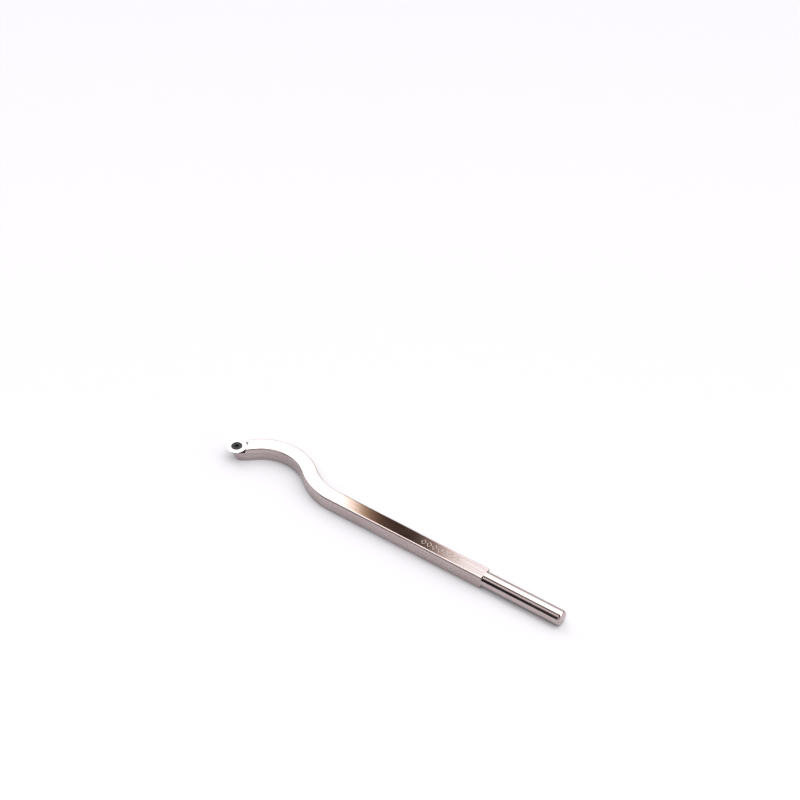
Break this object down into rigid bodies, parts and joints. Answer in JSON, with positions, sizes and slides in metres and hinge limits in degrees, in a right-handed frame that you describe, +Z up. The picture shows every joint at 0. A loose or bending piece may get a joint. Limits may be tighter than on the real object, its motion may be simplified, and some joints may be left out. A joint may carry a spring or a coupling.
{
  "type": "swan-neck hollowing tool",
  "caption": "Square steel woodturning bar with a swan neck, a round carbide cutter held by a countersunk screw, and a plain round tang for a handle.",
  "frame": {"origin": "on the tang's axis, at its shoulder on the square bar", "axes": "+X along the bar towards the cutter, +Z up out of the cutter's face, +Y to the side that the nose points to"},
  "size_m": [0.3227, 0.0356, 0.0126],
  "materials": {
    "bar_steel": "satin-ground steel, polished on the tang",
    "carbide": "ground and polished carbide",
    "black_steel": "black oxide"
  },
  "bodies": {
    "bar": {"tool_bar": "bar_steel"},
    "cutter": {"round_cutter": "carbide"},
    "screw": {"cutter_screw": "black_steel"}
  },
  "joints": [
    {"name": "cutter_index", "type": "hinge", "parent": "bar", "child": "cutter", "pos_m": [0.24469, 0, 0.00315], "axis": [0, 0, 1], "continuous": true},
    {"name": "screw_travel", "type": "slide", "parent": "bar", "child": "screw", "axis": [0, 0, 1], "range_m": [0, 0.0085]}
  ]
}
